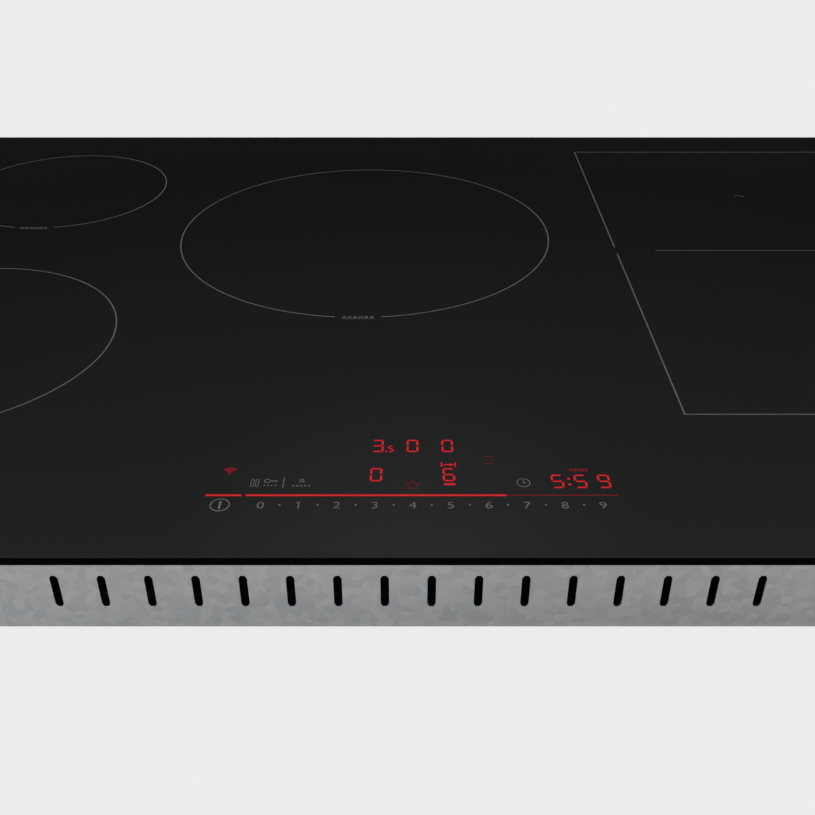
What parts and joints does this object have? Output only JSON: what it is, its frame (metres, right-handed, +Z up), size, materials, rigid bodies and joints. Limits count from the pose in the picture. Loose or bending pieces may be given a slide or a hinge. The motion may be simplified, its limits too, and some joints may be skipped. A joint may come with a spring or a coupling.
{
  "type": "induction hob",
  "caption": "Built-in glass-ceramic induction hob with round zones, a long flex zone and a touch panel, on a vented sheet-steel casing that hangs in a worktop cut-out.",
  "frame": {"origin": "middle of the casing's underside, at the bottom centre of the whole hob's box", "axes": "+X to the cook's right along the glass's long side, +Y away from the cook towards the rear edge, +Z up out of the cooking surface"},
  "size_m": [0.802, 0.522, 0.056],
  "materials": {
    "black_glass": "opaque black glass-ceramic, polished",
    "foam": "closed-cell foam strip",
    "aluminium": "mill finish",
    "zinc_sheet": "zinc-coated sheet with fine spangle",
    "spring_steel": "bright spring steel",
    "screw_steel": "bright zinc-plated",
    "coil_plastic": "glass-filled heat-resistant moulding",
    "litz_copper": "enamelled stranded copper",
    "mica": "pressed mica sheet",
    "ceramic": "white ceramic",
    "circuit_board": "green solder mask",
    "black_plastic": "fine moulded texture",
    "grey_plastic": "smooth moulding",
    "light_guide": "clear light guides in a white moulding",
    "rubber": "soft matt rubber",
    "printed_enamel": "thin grey enamel fired on the glass",
    "lit_red": "red light-emitting segments seen through the glass"
  },
  "bodies": {
    "root": {"glass_top": "black_glass", "seal_front": "foam", "seal_rear": "foam", "seal_left": "foam", "seal_right": "foam", "frame_rail_front": "aluminium", "frame_rail_rear": "aluminium", "frame_rail_left": "aluminium", "frame_rail_right": "aluminium", "bottom_tray": "zinc_sheet", "coil_plate": "aluminium", "coil_former_front_left": "coil_plastic", "coil_winding_front_left": "litz_copper", "mica_sheet_front_left": "mica", "heat_sensor_front_left": "ceramic", "coil_former_rear_left": "coil_plastic", "coil_winding_rear_left": "litz_copper", "mica_sheet_rear_left": "mica", "heat_sensor_rear_left": "ceramic", "coil_former_centre": "coil_plastic", "coil_winding_centre": "litz_copper", "mica_sheet_centre": "mica", "heat_sensor_centre": "ceramic", "coil_former_flex_front": "coil_plastic", "coil_winding_flex_front": "litz_copper", "mica_sheet_flex_front": "mica", "heat_sensor_flex_front": "ceramic", "coil_former_flex_rear": "coil_plastic", "coil_winding_flex_rear": "litz_copper", "mica_sheet_flex_rear": "mica", "heat_sensor_flex_rear": "ceramic", "plate_spring_front_left": "spring_steel", "plate_spring_front_right": "spring_steel", "plate_spring_rear_left": "spring_steel", "plate_spring_rear_right": "spring_steel", "case_screw_front_left": "screw_steel", "case_screw_front_right": "screw_steel", "case_screw_rear_left": "screw_steel", "case_screw_rear_right": "screw_steel", "board_carrier": "black_plastic", "power_board_left": "circuit_board", "heat_sink_left": "aluminium", "fan_housing_left": "black_plastic", "power_board_right": "circuit_board", "heat_sink_right": "aluminium", "fan_housing_right": "black_plastic", "filter_board": "circuit_board", "control_housing": "black_plastic", "control_board": "circuit_board", "display_block": "light_guide", "terminal_box": "black_plastic", "terminal_block": "ceramic", "cable_grommet": "rubber"},
    "fan_rotor_left": {"fan_rotor_left": "grey_plastic"},
    "fan_rotor_right": {"fan_rotor_right": "grey_plastic"},
    "terminal_cover": {"terminal_cover": "black_plastic"},
    "side_clip_front_left": {"side_clip_front_left": "spring_steel"},
    "side_clip_front_right": {"side_clip_front_right": "spring_steel"},
    "side_clip_rear_left": {"side_clip_rear_left": "spring_steel"},
    "side_clip_rear_right": {"side_clip_rear_right": "spring_steel"}
  },
  "joints": [
    {"name": "fan_spin_left", "type": "hinge", "parent": "root", "child": "fan_rotor_left", "pos_m": [-0.262, -0.03, 0.018], "axis": [0, 0, 1], "continuous": true},
    {"name": "fan_spin_right", "type": "hinge", "parent": "root", "child": "fan_rotor_right", "pos_m": [0.262, -0.03, 0.018], "axis": [0, 0, 1], "continuous": true},
    {"name": "clip_flex_front_left", "type": "hinge", "parent": "root", "child": "side_clip_front_left", "pos_m": [-0.3748, -0.15, 0.01], "axis": [0, 1, 0], "range_deg": [0, 26], "stiffness_Nm_per_rad": 0.8, "springref_deg": -8.59},
    {"name": "clip_flex_front_right", "type": "hinge", "parent": "root", "child": "side_clip_front_right", "pos_m": [0.3748, -0.15, 0.01], "axis": [0, -1, 0], "range_deg": [0, 26], "stiffness_Nm_per_rad": 0.8, "springref_deg": -8.59},
    {"name": "clip_flex_rear_left", "type": "hinge", "parent": "root", "child": "side_clip_rear_left", "pos_m": [-0.3748, 0.15, 0.01], "axis": [0, 1, 0], "range_deg": [0, 26], "stiffness_Nm_per_rad": 0.8, "springref_deg": -8.59},
    {"name": "clip_flex_rear_right", "type": "hinge", "parent": "root", "child": "side_clip_rear_right", "pos_m": [0.3748, 0.15, 0.01], "axis": [0, -1, 0], "range_deg": [0, 26], "stiffness_Nm_per_rad": 0.8, "springref_deg": -8.59},
    {"name": "terminal_cover_hinge", "type": "hinge", "parent": "root", "child": "terminal_cover", "pos_m": [0.215, 0.1787, 0.002], "axis": [-1, 0, 0], "range_deg": [0, 90]}
  ]
}
